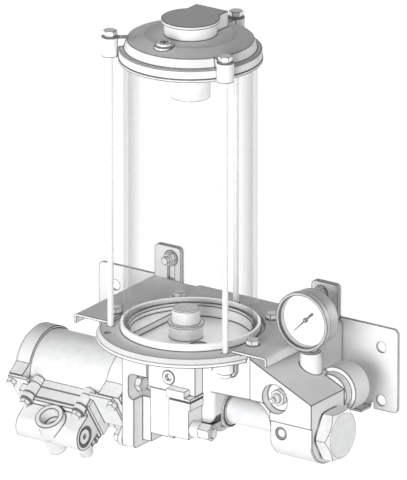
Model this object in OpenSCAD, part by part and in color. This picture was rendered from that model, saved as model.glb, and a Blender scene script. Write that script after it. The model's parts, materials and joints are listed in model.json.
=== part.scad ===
// Air-driven grease pump with a clear reservoir, hung on a wall by a folded bracket. Sizes are millimetres.
// The wall is the plane Y = 0 and the pump stands in front of it, towards negative Y. X runs along the pump
// tube, from the air motor to the outlet block, and the origin is the middle of the four wall holes.

/* [Reservoir] */
// Outside diameter of the clear tube
tube_d = 140; // [134:1:144]
// Wall thickness of the clear tube
tube_wall = 5; // [4:0.5:6]
// Length of the clear tube
tube_len = 300; // [240:5:380]
// Thickness of the flat seals at both ends of the tube
seal_t = 2; // [1.5:0.5:3]
// Height of the post in the middle of the bowl, above the bowl floor
post_h = 32; // [26:1:36]
// Diameter of the post
post_d = 29.2; // [24:0.2:32]

/* [Cap] */
// Diameter of the cap's rim
cap_rim_d = 150.4; // [150:0.2:156]
// Height of the cap's rim
cap_rim_h = 13; // [12:1:15]
// Diameter of the flat on top of the cap
cap_flat_d = 95.2; // [90:0.2:100]
// Height of the cap's flat top above its rim
cap_rise = 15.2; // [13:0.2:18]
// Diameter of the vent's neck
vent_neck_d = 55.2; // [50:0.2:58]
// Height of the vent above the cap
vent_h = 17; // [14:1:22]
// Diameter of the overflow tube under the cap
overflow_d = 42.2; // [38:0.2:46]
// Length of the overflow tube under the cap's inner face
overflow_len = 63; // [40:1:80]

/* [Tie bolts] */
// Diameter of the circle that the three tie bolts stand on
tie_circle_d = 166.8; // [166:0.2:172]
// Diameter of a tie bolt
tie_d = 6.4; // [5:0.1:8]
// Size across the flats of a tie bolt's head
tie_af = 13; // [11:0.5:13]
// Diameter of the cap's ear round a tie bolt
ear_d = 18.2; // [17:0.2:20]

/* [Base casting] */
// Diameter of the casting's ring
ring_d = 197; // [195:1:204]
// Thickness of the ring
ring_t = 9; // [8:0.5:11]
// Height of the collar round the clear tube
collar_h = 8; // [7:0.5:10]
// Wall of the collar outside the clear tube
collar_wall = 2.8; // [2.4:0.2:3.2]
// Depth of the bowl's main floor under the ring's top
bowl_depth = 10; // [8:0.5:11]
// Depth of the bowl's shelf on the motor side
shelf_depth = 3; // [2:0.5:4]
// Width of the casting's body and of the outlet block, front to back
body_w = 66; // [64:1:68]
// Depth of the pump's centre line under the ring's top
pump_drop = 78.6; // [76:0.2:82]
// Diameter of the hub round the pump tube
hub_d = 52; // [48:1:56]
// Height and width of the square motor flange
flange_w = 98; // [92:1:100]
// Thickness of the motor flange
flange_t = 15; // [14:0.5:16]
// Distance from the reservoir's centre line to the motor flange's outer face
flange_x = 53; // [52.5:0.5:54]

/* [Outlet block] */
// Distance from the reservoir's centre line to the block's end face
block_end_x = 174.6; // [172:0.2:180]
// Length of the block along the pump tube
block_len = 52; // [50:1:54]
// Height of the block's top over the pump's centre line, at its end face
block_top = 39; // [37:0.5:41]
// Size across the flats of the large end plug
plug_af = 52; // [48:1:54]
// Length of the large end plug's head
plug_h = 19; // [14:1:24]
// Diameter of the round outlet cap
outlet_cap_d = 50; // [46:1:52]
// Length of the round outlet cap
outlet_cap_len = 28; // [20:1:32]

/* [Pump tube] */
// Outside diameter of the pump tube
pump_tube_d = 28.8; // [26:0.2:30]
// Bore of the pump tube
pump_bore_d = 22; // [20:0.5:23]
// Diameter of the drive rod
rod_d = 14; // [10:0.5:15]

/* [Bracket] */
// Thickness of the bracket and of the wall plate
sheet_t = 3; // [2.5:0.25:3.5]
// Width of the bracket over its side lips
bracket_w = 243; // [241:1:248]
// Distance from the reservoir's centre line to the wall
reach = 108; // [106:1:116]
// Distance from the reservoir's centre line forward to the bracket's front edge
bracket_front = 38; // [34:1:44]
// Height of the side lips under the bracket's top
lip_h = 10.4; // [9:0.2:11]
// Depth of the deep part of the side lips, near the wall
gusset_h = 50; // [40:1:60]
// Height of the upright tabs over the bracket's underside
tab_h = 40.5; // [37:0.5:50]
// Width of the upright tabs
tab_w = 33.5; // [30:0.5:35]

/* [Wall plate] */
// Length of the wall plate
plate_w = 379; // [370:1:400]
// Height of the wall plate
plate_h = 93; // [88:1:100]
// Distance from a wall hole's centre to the plate's end
hole_edge = 21; // [16:1:28]
// Spacing of the wall holes up the plate
hole_pitch_z = 59; // [50:1:64]
// Diameter of the wall holes
hole_d = 11.5; // [9:0.5:13]

/* [Gauge] */
// Diameter of the gauge's bezel
bezel_d = 64.4; // [60:0.2:66]
// Depth of the gauge from bezel to back
gauge_depth = 25.5; // [24:0.5:30]
// Height of the gauge's centre above the ring's top
gauge_z = 33; // [33:0.5:40]
// Height of the gauge boss's top under the ring's top
gauge_boss_drop = 4; // [4:0.5:7]

/* [Air motor] */
// Outside diameter of the motor's cylinder
motor_d = 81; // [79:0.5:83]
// Bore of the motor's cylinder
motor_bore = 72; // [68:0.5:74]
// Length of the motor's cylinder
motor_len = 110; // [104:1:116]
// Diameter of the motor's end cap
motor_cap_d = 87; // [86:0.5:88]
// Thickness of the piston
piston_t = 18; // [14:0.5:20]
// Half of the piston's stroke
half_stroke = 30; // [15:1:32]

/* [Air valve] */
// Angle of the air valve under the motor's front
valve_tilt = 34; // [32:1:36]
// Distance from the motor's centre line to the spool's centre line
spool_reach = 75.3; // [74.5:0.1:77]
// Diameter of the round spool housing
spool_housing_d = 30; // [29:0.5:31]
// Length of the air valve's housing
valve_len = 78.4; // [76:0.2:80]
// Bore that the spool slides in
spool_bore_d = 16; // [14:0.5:17]
// Diameter of the air inlet's threaded hole
inlet_d = 20.2; // [18:0.2:21]

/* [Fasteners and fits] */
// Size across the flats of the bracket bolts and of the tab nuts
m8_af = 13; // [12:0.5:14]
// Size across the flats of the air valve's bolts
m6_af = 10; // [9:0.5:10.5]
// Size across the flats of the flange bolts
flange_bolt_af = 14; // [13:0.5:14]
// Gap all round a bolt or plug in its hole
bolt_gap = 0.15; // [0.1:0.05:0.3]
// Gap all round a sliding piece in its bore
slide_gap = 0.05; // [0.02:0.01:0.09]
// Gap all round the clear tube in its collar and in the cap
tube_gap = 0.25; // [0.15:0.05:0.4]

/* [Hidden] */
$fn = 96;

ring_rise = hole_pitch_z / 2 + 18.1;
hole_pitch_x = plate_w - 2 * hole_edge;
eps = 0.01;

// Reservoir
tube_r = tube_d / 2;
tube_in_r = tube_r - tube_wall;
seat_r = tube_r + tube_gap;
collar_r = seat_r + collar_wall;
bowl_r = tube_in_r - 1;
bowl_floor_t = 5;
shoulder_z = 2;
tube_z = shoulder_z + seal_t;
tube_top_z = tube_z + tube_len;
cap_seat_z = tube_top_z + seal_t;
post_x = -5.8;
post_foot_d = post_d + 6.2;
post_flange_d = post_d + 9.6;
post_foot_h = 16;
shelf_x = -46;
inlet_hole = [20, -14];
inlet_hole_d = 18;

// Cap
cap_overlap = 10;
cap_z = cap_seat_z - cap_overlap;
cap_rim_z = cap_z + cap_rim_h;
cap_flat_z = cap_rim_z + cap_rise;
cap_wall = 5;
cap_neck_d = 138.4;
cap_edge_d = 132;
cap_edge_rise = 9.7;
cap_lip_t = 3;
vent_disc_t = 3.6;
vent_disc_d = vent_neck_d + 5.6;
vent_snout_w = 39.6;
vent_snout_reach = 39.6;
overflow_wall = 4;
ear_top_z = cap_rim_z + 10;
ear_angles = [90, 210, 330];
fill_y = -(cap_flat_d / 2);
fill_boss_d = 21;
fill_plug_d = 16;
fill_thread_d = 10;
overflow_neck_d = 34;
tie_washer_t = 1.2;
socket_depth = 2.6;

// Base casting
body_r = body_w / 2;
beam_depth = 52;
body_end_x = 36;
hub_r = hub_d / 2;
hub_end_x = 46.6;
flange_in_x = flange_x - flange_t;
pad_front = -46.8;
pad_depth = 38;
pump_bore_r = 15;
pocket_depth = 7;
pocket_low = 72.5;
pad_end_x = -21.6;
tie_boss_d = 17;
hub_mouth_d = 41;
fitting_thread_d = 8;
outlet_thread_d = 24;
gauge_thread_d = 12;
flange_bolt_upper = [flange_w / 2 - 19, 17.6];
flange_bolt_lower = [flange_w / 2 - 9, 7 - flange_w / 2];
flange_bolt_d = 8;
bracket_bolt_d = 8;
bracket_bolt_angles = [-8, 48, 132, 188];
bracket_bolt_circle_r = 87.6;
spare_hole_angle = 224;

// Outlet block
block_x = block_end_x - block_len;
arm_top = [93, -2];
arm_slope = atan2(block_top - pump_drop - arm_top[1], block_end_x - arm_top[0]);
arch_r = 24;
block_round_r = body_r - 1.5;
block_flat = 11;
fitting_at = [129, -41.7];
fitting_recess_d = 31;
fitting_recess_depth = 9;
block_plug_d = 12.4;
plug_seat = 9;
block_plug_x = 137.6;
outlet_at = [157.5, -47];
outlet_neck_d = 40;
outlet_neck_len = 4;
gauge_at = [bracket_w / 2 + 14.5, 22];
gauge_boss_d = 20.8;
plug_thread_d = 40;
plug_thread_len = 16;

// Bracket and wall plate
tab_x = 99.3;
slot_x = 95;
slot_w = 8.4;
slot_low = 4;
stud_z = 27.8;
stud_d = 8;
stud_head_d = 12;
stud_head_t = 1.4;
bracket_back = reach - 2 * sheet_t;
notch_r = collar_r + 4.4;
bend_r = 4;
plate_top_z = 5;
plate_mid_z = -10;
plate_lip_w = 310;
plate_lip_depth = 20;
tail_half_w = 62;
tab_washer_t = 1.6;

// Gauge
gauge_front = -17;
case_d = bezel_d - 4;
bezel_len = 7;
neck_d = 13;
neck_h = 1.5;
lens_t = 1.4;
dial_y = gauge_front + 9;
dial_t = 0.8;
spindle_d = 2.4;
pointer_hub_d = 5;
pointer_len = 20.5;

// Front manifold
manifold_end_x = 37.8;
manifold_top = -bowl_depth - bowl_floor_t;
manifold_low = -54.5;
manifold_plug_d = 14.6;
manifold_plug_at = [4.4, -39.6];
lower_block_x = [-18.7, 11];
lower_block_drop = 106;
vent_x = [11.4, 36.7];
vent_fitting_at = [-49, -89];

// Pump tube
tube_start_x = 33;
lock_ring_d = 35.4;
plug_washer_t = 1.5;

// Air motor
motor_x = -80;
motor_left_x = motor_x - motor_len;
motor_cap_len = 22;
motor_head_t = 8;
piston_x = -136;
adapter_d = 85;
adapter_flange_w = flange_w - 1;
adapter_flange_t = 6;
pad_reach = 42;
pad_half = 27;
gland_d = 26;
plunger_x = 86;
plunger_t = 16;
spigot_d = 9;
piston_nut_h = 8;
motor_skirt = motor_cap_len - motor_head_t;

// Air valve
plate_reach = 54.4;
valve_x = -90.5;
valve_left_x = valve_x - valve_len;
housing_half = 22.2;
gasket_t = 1;
tower_d = 13.6;
tower_p = 23;
tower_x = [-98.4, -164];
tower_reach = 62.4;
ear_bolt_x = [-62, -190];
inlet_x = -127.3;
inlet_rise = 23;
inlet_len = 14;
exhaust_x = -138.5;
exhaust_drop = 33.3;
exhaust_len = 14;
exhaust_d = 11;
passage_d = 8;
ear_seat = 45.4;
// The ear bolts' heads pass in front of the adapter's flange
ear_bolt_p = (adapter_flange_w / 2 + 1 + m6_af / 2 / cos(30) * sin(valve_tilt) - ear_seat * cos(valve_tilt))
    / sin(valve_tilt);
end_pad_half = ear_bolt_p + 8.2;
plate_bolt_d = 6;
valve_bolt_d = 6;
spool_plug_d = 22;
spool_plug_len = 6;
post_collar_t = 2.4;

// A point on a circle of radius r whose tangent goes through the point p, on the side that s gives
function tangent_point(r, p, s) =
    let (a = atan2(p[1], p[0]) + s * acos(r / norm(p))) [r * cos(a), r * sin(a)];

// From the reservoir's centre line at the ring's top to the wall's frame
module placed() {
    translate([0, -reach, ring_rise]) children();
}

// A cylinder along X, from x1 to x2, round the point at = [y, z]
module along_x(x1, x2, d, at = [0, 0]) {
    translate([x1, at[0], at[1]]) rotate([0, 90, 0]) cylinder(d = d, h = x2 - x1);
}

// A cylinder along Y, from y1 to y2, round the point at = [x, z]
module along_y(y1, y2, d, at = [0, 0]) {
    translate([at[0], y1, at[1]]) rotate([-90, 0, 0]) cylinder(d = d, h = y2 - y1);
}

// A box from its low corner to its high corner
module box(low, high) {
    translate(low) cube(high - low);
}

// Extrudes a shape drawn in X and Z along Y, from y1 to y2
module extrude_y(y1, y2) {
    translate([0, y2, 0]) rotate([90, 0, 0]) linear_extrude(y2 - y1) children();
}

// Extrudes a shape drawn in Y and Z along X, from x1 to x2
module extrude_x(x1, x2) {
    translate([x1, 0, 0]) rotate([90, 0, 90]) linear_extrude(x2 - x1) children();
}

// A flat rectangle with round corners, from its low corner to its high corner
module round_rect(low, high, r) {
    translate(low + [r, 0]) square(high - low - [2 * r, 0]);
    translate(low + [0, r]) square(high - low - [0, 2 * r]);
    for (x = [low[0] + r, high[0] - r], y = [low[1] + r, high[1] - r])
        translate([x, y]) circle(r);
}

// A hexagonal head that stands on z = 0, with the corners of its top turned off
module hex_head(af, h) {
    corner_r = af / 2 / cos(30);
    out_r = corner_r + 0.5;
    top_r = af * 0.475;
    intersection() {
        cylinder(r = corner_r, h = h, $fn = 6);
        rotate_extrude()
            polygon([[0, 0], [out_r, 0], [out_r, h - (out_r - top_r) * tan(30)], [top_r, h], [0, h]]);
    }
}

// A bolt with its head on z = 0 and its shank below
module hex_bolt(af, head_h, d, len) {
    hex_head(af, head_h);
    translate([0, 0, -len]) cylinder(d = d, h = len + eps);
}

// A flat washer on z = 0
module washer(od, id, t) {
    difference() {
        cylinder(d = od, h = t);
        translate([0, 0, -1]) cylinder(d = id, h = t + 2);
    }
}

// Repeats its children on the tie bolts' circle
module on_tie_circle() {
    for (a = ear_angles) rotate([0, 0, a]) translate([tie_circle_d / 2, 0, 0]) children();
}

// The air valve's own frame: its face points along negative Y and its inlet along Z
module valve_frame() {
    placed() translate([0, 0, -pump_drop]) rotate([valve_tilt, 0, 0]) children();
}

// BASE CASTING

// The turned part of the casting: the ring, its bevelled edge, the collar and the shallow bowl
module ring_and_bowl() {
    bevel = 4.5;
    bowl_out_r = collar_r - 3;
    rotate_extrude()
        polygon([
            [0, -bowl_depth - bowl_floor_t], [bowl_out_r, -bowl_depth - bowl_floor_t],
            [bowl_out_r, -ring_t], [ring_d / 2, -ring_t],
            [ring_d / 2, -5], [ring_d / 2 - bevel, 0], [collar_r, 0], [collar_r, collar_h], [0, collar_h]
        ]);
}

// What is cut out of the ring and bowl from above
module bowl_space() {
    translate([0, 0, shoulder_z]) cylinder(r = seat_r, h = collar_h);
    translate([0, 0, -shelf_depth]) cylinder(r = bowl_r, h = collar_h + shelf_depth);
    intersection() {
        translate([0, 0, -bowl_depth]) cylinder(r = bowl_r, h = bowl_depth);
        box([shelf_x, -bowl_r - 1, -bowl_depth], [bowl_r + 1, bowl_r + 1, 0]);
    }
}

// The square motor flange, and the pad under the ring that joins it to the manifold's side
module motor_flange() {
    half = flange_w / 2;
    extrude_x(-flange_x, -flange_in_x)
        round_rect([-half, -pump_drop - half], [half, -ring_t + 2], 5);
    box([-flange_x, pad_front, -pad_depth], [pad_end_x, 0, -ring_t + 2]);
    box([pad_end_x - 1, pad_front, manifold_top], [manifold_end_x, 0, -ring_t + 2]);
}

// The hub round the pump tube, flat-sided above the centre line, with its mouth rounded off
module hub() {
    mouth = 4;
    extrude_x(0, hub_end_x - mouth) {
        translate([0, -pump_drop]) circle(hub_r);
        translate([-hub_r, -pump_drop]) square([hub_d, pump_drop - 20]);
    }
    translate([hub_end_x - mouth - eps, 0, -pump_drop]) rotate([0, 90, 0])
        cylinder(r1 = hub_r, r2 = hub_mouth_d / 2, h = mouth);
}

// Side view of the arm and the outlet block
module arm_outline() {
    difference() {
        polygon([
            [40, -ring_t + 4], [arm_top[0], arm_top[1]], [block_end_x, block_top - pump_drop],
            [block_end_x, -pump_drop], [block_x, -pump_drop], [block_x, -beam_depth],
            [block_x - 10, -beam_depth + 3], [40, -beam_depth + 1]
        ]);
        translate([block_x - arch_r, -beam_depth + 3 - arch_r]) circle(arch_r);
    }
}

module arm_and_block() {
    edge_r = 6;
    // The arm, with its long top edges rounded
    intersection() {
        extrude_y(-body_r, body_r) arm_outline();
        translate([arm_top[0], 0, arm_top[1]]) rotate([0, arm_slope, 0])
            extrude_x(-120, 140) round_rect([-body_r, -140], [body_r, 0], edge_r);
    }
    // The round-bottomed block
    extrude_x(block_x, block_end_x) {
        translate([0, -pump_drop]) circle(block_round_r);
        translate([-block_round_r, -pump_drop]) square([2 * block_round_r, block_flat]);
    }
    // The gauge's boss and the outlet's neck
    translate([gauge_at[0], gauge_at[1], -gauge_boss_drop - 26])
        cylinder(d1 = gauge_boss_d + 3.4, d2 = gauge_boss_d, h = 26);
    along_y(body_r - 6, body_r + outlet_neck_len, outlet_neck_d, outlet_at);
}

// What is drilled and cut out of the arm and the block
module block_holes() {
    along_x(block_x - 1, block_end_x - plug_thread_len + 1, pump_tube_d + 2 * bolt_gap, [0, -pump_drop]);
    along_x(block_end_x - plug_thread_len, block_end_x + 1, plug_thread_d + 2 * bolt_gap, [0, -pump_drop]);
    along_y(-body_r - 1, -body_r + fitting_recess_depth, fitting_recess_d, fitting_at);
    along_y(-body_r, 0, fitting_thread_d + 2 * bolt_gap, fitting_at);
    along_y(-body_r - 1, -body_r + plug_seat, block_plug_d + 2 * bolt_gap, [block_plug_x, -pump_drop]);
    along_y(0, body_r + outlet_neck_len + 1, outlet_thread_d + 2 * bolt_gap, outlet_at);
    translate([gauge_at[0], gauge_at[1], -gauge_boss_drop - 14])
        cylinder(d = gauge_thread_d + 2 * bolt_gap, h = 20);
}

// The pockets that the upper flange bolts sit in
module flange_pockets() {
    for (s = [-1, 1]) front_or_back(s)
        extrude_x(-flange_in_x - pocket_depth, -flange_in_x + 10)
            round_rect([-flange_w / 2 - 10, -pocket_low], [-17, -pad_depth - 1], 4);
}

// Its children as they are, or mirrored front to back when s is -1
module front_or_back(s) {
    mirror([0, s < 0 ? 1 : 0, 0]) children();
}

module pump_base() {
    color("gainsboro") placed() difference() {
        union() {
            ring_and_bowl();
            motor_flange();
            box([-flange_in_x - 1, -body_r, -pump_drop], [body_end_x, body_r, -ring_t + 2]);
            extrude_x(-flange_in_x - 1, body_end_x) intersection() {
                translate([0, -pump_drop]) circle(body_r);
                translate([-body_r, -pump_drop - hub_r]) square([body_w, hub_r + 1]);
            }
            hub();
            arm_and_block();
            on_tie_circle() translate([0, 0, -22]) cylinder(d = tie_boss_d, h = 16);
        }
        bowl_space();
        flange_pockets();
        translate([inlet_hole[0], inlet_hole[1], -pump_drop]) cylinder(d = inlet_hole_d, h = pump_drop);
        along_x(-flange_x - 1, hub_end_x + 1, 2 * pump_bore_r, [0, -pump_drop]);
        along_x(-flange_x - 1, -flange_x + 6, gland_d + 10, [0, -pump_drop]);
        on_tie_circle() translate([0, 0, -16]) cylinder(d = tie_d + 2 * bolt_gap, h = 20);
        for (a = bracket_bolt_angles) rotate([0, 0, a]) translate([bracket_bolt_circle_r, 0, -7])
            cylinder(d = bracket_bolt_d + 2 * bolt_gap, h = 10);
        rotate([0, 0, spare_hole_angle]) translate([bracket_bolt_circle_r, 0, -7])
            cylinder(d = 6, h = 10);
        for (s = [-1, 1], b = [flange_bolt_upper, flange_bolt_lower])
            along_x(-flange_x - 1, -flange_in_x + 12, flange_bolt_d + 2 * bolt_gap, [s * b[0], b[1] - pump_drop]);
        block_holes();
    }
}

// RESERVOIR AND CAP

module base_seal() {
    color("dimgray") placed() translate([0, 0, shoulder_z]) washer(tube_d, 2 * tube_in_r, seal_t);
}

module reservoir_tube() {
    color("aliceblue", 0.35) placed() translate([0, 0, tube_z]) washer(tube_d, 2 * tube_in_r, tube_len);
}

module cap_seal() {
    color("dimgray") placed() translate([0, 0, tube_top_z]) washer(tube_d, 2 * tube_in_r, seal_t);
}

// The turned shell of the cap: its rim, its step and its low dome
module cap_shell() {
    rim_r = cap_rim_d / 2;
    in_r = tube_in_r - 4;
    rotate_extrude()
        polygon([
            [seat_r, cap_z], [rim_r, cap_z], [rim_r, cap_z + cap_lip_t], [rim_r - 0.8, cap_z + cap_lip_t],
            [rim_r - 0.8, cap_rim_z - 1], [rim_r - 1.8, cap_rim_z], [cap_neck_d / 2, cap_rim_z],
            [cap_edge_d / 2, cap_rim_z + cap_edge_rise], [cap_flat_d / 2, cap_flat_z], [0, cap_flat_z],
            [0, cap_flat_z - cap_wall], [cap_flat_d / 2, cap_flat_z - cap_wall],
            [in_r, cap_rim_z + cap_edge_rise - cap_wall], [in_r, cap_seat_z], [seat_r, cap_seat_z]
        ]);
}

// An ear of the cap, with the rib that runs up to the dome
module cap_ear() {
    rib_w = 9;
    low_z = cap_z + 2;
    translate([tie_circle_d / 2, 0, low_z]) cylinder(d = ear_d, h = ear_top_z - low_z);
    extrude_y(-rib_w / 2, rib_w / 2)
        polygon([
            [seat_r + 1, low_z], [tie_circle_d / 2, low_z], [tie_circle_d / 2, ear_top_z - 1],
            [cap_edge_d / 2 - 8, cap_rim_z + cap_edge_rise + 1], [cap_edge_d / 2 - 8, cap_rim_z + 2],
            [seat_r + 1, cap_rim_z - 2]
        ]);
}

module reservoir_cap() {
    color("gainsboro") placed() difference() {
        union() {
            cap_shell();
            for (a = ear_angles) rotate([0, 0, a]) cap_ear();
            translate([0, fill_y, cap_flat_z - cap_wall - 3]) cylinder(d = fill_boss_d, h = cap_wall + 3.6);
        }
        on_tie_circle() translate([0, 0, cap_z - 1]) cylinder(d = tie_d + 2 * bolt_gap, h = 40);
        translate([0, 0, cap_flat_z - 20]) cylinder(d = overflow_neck_d + 2 * bolt_gap, h = 40);
        translate([0, fill_y, cap_flat_z - 20]) cylinder(d = fill_thread_d + 2 * bolt_gap, h = 40);
    }
}

// The vent on the cap: a round hood with a square spout that is open towards the wall
module vent_cap() {
    half_w = vent_snout_w / 2;
    wall = 2.6;
    top = cap_flat_z + vent_h;
    color("gainsboro") placed() difference() {
        union() {
            translate([0, 0, cap_flat_z]) cylinder(d = vent_neck_d, h = vent_h - vent_disc_t + 1);
            translate([0, 0, top - vent_disc_t]) cylinder(d = vent_disc_d, h = vent_disc_t);
            box([-half_w, 0, cap_flat_z], [half_w, vent_snout_reach, top]);
        }
        translate([0, 0, cap_flat_z - 1]) cylinder(d = vent_neck_d - 2 * wall, h = vent_h + 1 - vent_disc_t);
        box([-half_w + wall, 0, cap_flat_z + wall], [half_w - wall, vent_snout_reach + 1, top - vent_disc_t]);
    }
}

// The dip pipe under the cap that keeps the fill level below the vent
module overflow_tube() {
    face_z = cap_flat_z - cap_wall;
    color("silver") placed() difference() {
        union() {
            translate([0, 0, face_z - overflow_len]) cylinder(d = overflow_d, h = overflow_len);
            translate([0, 0, face_z - 1]) cylinder(d = overflow_neck_d, h = cap_wall + 5);
        }
        translate([0, 0, face_z - overflow_len - 1])
            cylinder(d = overflow_neck_d - 2 * overflow_wall, h = overflow_len + 20);
    }
}

// A plug with a round head on z = 0, a hexagonal socket in it and a shank below
module socket_plug(head_d, head_h, d, len, socket_af) {
    difference() {
        union() {
            cylinder(d = head_d, h = head_h);
            translate([0, 0, -len]) cylinder(d = d, h = len + 1);
        }
        translate([0, 0, head_h - socket_depth]) cylinder(d = socket_af / cos(30), h = 10, $fn = 6);
    }
}

module fill_plug() {
    color("silver") placed() translate([0, fill_y, cap_flat_z + 0.6])
        socket_plug(fill_plug_d, 3.4, fill_thread_d, 10, 8);
}

module tie_bolts() {
    color("silver") placed() on_tie_circle() translate([0, 0, ear_top_z + tie_washer_t])
        hex_bolt(tie_af, 5.6, tie_d, ear_top_z + tie_washer_t + 14);
}

module tie_washers() {
    color("silver") placed() on_tie_circle() translate([0, 0, ear_top_z])
        washer(tie_af + 1.6, tie_d + 2 * bolt_gap, tie_washer_t);
}

// The turned post that the follower's lead and the strainer sit on
module centre_post() {
    foot_z = -bowl_depth;
    collar_z = foot_z + post_foot_h - post_collar_t;
    color("silver") placed() translate([post_x, 0, 0]) rotate_extrude()
        polygon([
            [0, foot_z], [post_foot_d / 2, foot_z], [post_foot_d / 2, collar_z], [post_d / 2, collar_z],
            [post_d / 2, foot_z + post_h - 1.4], [post_d / 2 - 1.4, foot_z + post_h], [0, foot_z + post_h]
        ]);
}

module post_collar() {
    color("silver") placed() translate([post_x, 0, -bowl_depth + post_foot_h - post_collar_t])
        washer(post_flange_d, post_d + 2 * bolt_gap, post_collar_t);
}

// BRACKET AND WALL PLATE

// The bracket's section across: a channel that opens down, with round folds
module channel_section(half_w, top, low, r) {
    round_rect([-half_w, low - r], [half_w, top], r);
}

// The open front of the bracket, round the casting's collar
module bracket_notch() {
    translate([0, 0, -1]) cylinder(r = notch_r, h = sheet_t + 2);
    box([-notch_r, -bracket_front - 1, -1], [notch_r, 0, sheet_t + 1]);
}

// Side view of what the bracket's folded sides keep
module lip_outline() {
    low = sheet_t - lip_h;
    polygon([
        [-bracket_front - 1, low], [body_r + 3.5, low], [body_r + 14, sheet_t - gusset_h],
        [bracket_back, sheet_t - gusset_h], [bracket_back, sheet_t + 1], [-bracket_front - 1, sheet_t + 1]
    ]);
}

// An upright tab, folded up from the bracket's rear edge, with the slot for its stud
module bracket_tab(s) {
    x1 = s * tab_x - tab_w / 2;
    corner = 5;
    difference() {
        intersection() {
            extrude_x(x1, x1 + tab_w) difference() {
                union() {
                    translate([bracket_back - 8, 0]) square([8, sheet_t + 1]);
                    round_rect([bracket_back - 12, 0], [bracket_back + sheet_t, tab_h + 20], bend_r);
                }
                round_rect([bracket_back - 40, sheet_t], [bracket_back, tab_h + 40], bend_r - sheet_t);
                translate([bracket_back - 40, -1]) square([32, 60]);
            }
            extrude_y(bracket_back - 20, bracket_back + 20)
                round_rect([x1, -20], [x1 + tab_w, tab_h], corner);
        }
        extrude_y(bracket_back - 1, bracket_back + 20) {
            translate([s * slot_x - slot_w / 2, slot_low]) square([slot_w, stud_z + 0.5 - slot_low]);
            translate([s * slot_x, stud_z + 0.5]) circle(d = slot_w);
        }
    }
}

module mounting_bracket() {
    half_w = bracket_w / 2;
    low = sheet_t - gusset_h - 10;
    color("darkgray") placed() difference() {
        union() {
            intersection() {
                extrude_y(-bracket_front, bracket_back) difference() {
                    channel_section(half_w, sheet_t, low, bend_r);
                    channel_section(half_w - sheet_t, 0, low - 10, bend_r - sheet_t);
                }
                extrude_x(-half_w - 1, half_w + 1) lip_outline();
            }
            box([-tail_half_w, bracket_back - 5, 0], [tail_half_w, reach - 1, sheet_t]);
            for (s = [-1, 1]) bracket_tab(s);
        }
        bracket_notch();
        on_tie_circle() translate([0, 0, -1]) cylinder(d = tie_d + 2, h = sheet_t + 2);
        for (a = bracket_bolt_angles) rotate([0, 0, a]) translate([bracket_bolt_circle_r, 0, -1])
            cylinder(d = bracket_bolt_d + 2 * bolt_gap, h = sheet_t + 2);
    }
}

module bracket_bolts() {
    color("silver") placed() for (a = bracket_bolt_angles)
        rotate([0, 0, a]) translate([bracket_bolt_circle_r, 0, sheet_t]) {
            cylinder(d = m8_af + 2, h = 1);
            translate([0, 0, 1]) hex_bolt(m8_af, 5.6, bracket_bolt_d, sheet_t + 7.4);
        }
}

// Front view of the wall plate
module wall_plate_outline() {
    half = plate_w / 2;
    low = plate_top_z - plate_h;
    difference() {
        union() {
            round_rect([-half, low], [half, plate_top_z], 6);
            for (s = [-1, 1])
                round_rect([s * tab_x - tab_w / 2, low + 20], [s * tab_x + tab_w / 2, tab_h], 5);
        }
        translate([-tab_x + tab_w / 2, plate_mid_z]) square([2 * tab_x - tab_w, 60]);
        for (s = [-1, 1], z = [0, 1]) translate([s * hole_pitch_x / 2, -ring_rise + (z - 0.5) * hole_pitch_z])
            circle(d = hole_d);
        for (s = [-1, 1]) translate([s * slot_x, stud_z]) circle(d = stud_d + 2 * bolt_gap);
        // Bend reliefs at the ends of the folded lip
        for (s = [-1, 1]) translate([s * (plate_lip_w / 2 + 2) - 2, low - 1]) square([4, 8]);
    }
}

module wall_plate() {
    low = plate_top_z - plate_h;
    lip_half = plate_lip_w / 2;
    color("lightgray") placed() {
        difference() {
            extrude_y(reach - sheet_t, reach) wall_plate_outline();
            box([-lip_half, 0, low - 1], [lip_half, reach + 1, low + 7]);
            for (s = [-1, 1])
                along_y(reach - stud_head_t, reach + 1, stud_head_d + 2 * bolt_gap, [s * slot_x, stud_z]);
        }
        // The lip, with its round fold
        extrude_x(-lip_half, lip_half) difference() {
            round_rect([reach - plate_lip_depth - 8, low], [reach, low + 30], bend_r);
            round_rect([reach - plate_lip_depth - 30, low + sheet_t], [reach - sheet_t, low + 50], bend_r - sheet_t);
            translate([reach - 60, low - 1]) square([60 - plate_lip_depth, 40]);
            translate([reach - 60, low + 7]) square([61, 40]);
        }
    }
}

module tab_studs() {
    color("silver") placed() for (s = [-1, 1]) {
        along_y(bracket_back - 12.4, reach - 0.2, stud_d, [s * slot_x, stud_z]);
        along_y(reach - stud_head_t, reach - 0.2, stud_head_d, [s * slot_x, stud_z]);
    }
}

module tab_washers() {
    color("silver") placed() for (s = [-1, 1])
        translate([s * slot_x, bracket_back, stud_z]) rotate([90, 0, 0])
            washer(17, stud_d + 2 * bolt_gap, tab_washer_t);
}

module tab_nuts() {
    color("silver") placed() for (s = [-1, 1])
        translate([s * slot_x, bracket_back - tab_washer_t, stud_z]) rotate([90, 0, 0]) difference() {
            hex_head(m8_af, 6.4);
            translate([0, 0, -1]) cylinder(d = stud_d + 2 * bolt_gap, h = 10);
        }
}

// PUMP TUBE, OUTLET AND GAUGE

module pump_tube() {
    color("silver") placed() difference() {
        along_x(tube_start_x, block_end_x - plug_thread_len, pump_tube_d, [0, -pump_drop]);
        along_x(tube_start_x - 1, block_end_x, pump_bore_d, [0, -pump_drop]);
    }
}

// The ring that seals the pump tube in the hub's mouth
module tube_lock_ring() {
    color("dimgray") placed() difference() {
        along_x(hub_end_x, hub_end_x + 3, lock_ring_d, [0, -pump_drop]);
        along_x(hub_end_x - 1, hub_end_x + 4, pump_tube_d + 2 * bolt_gap, [0, -pump_drop]);
    }
}

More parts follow.
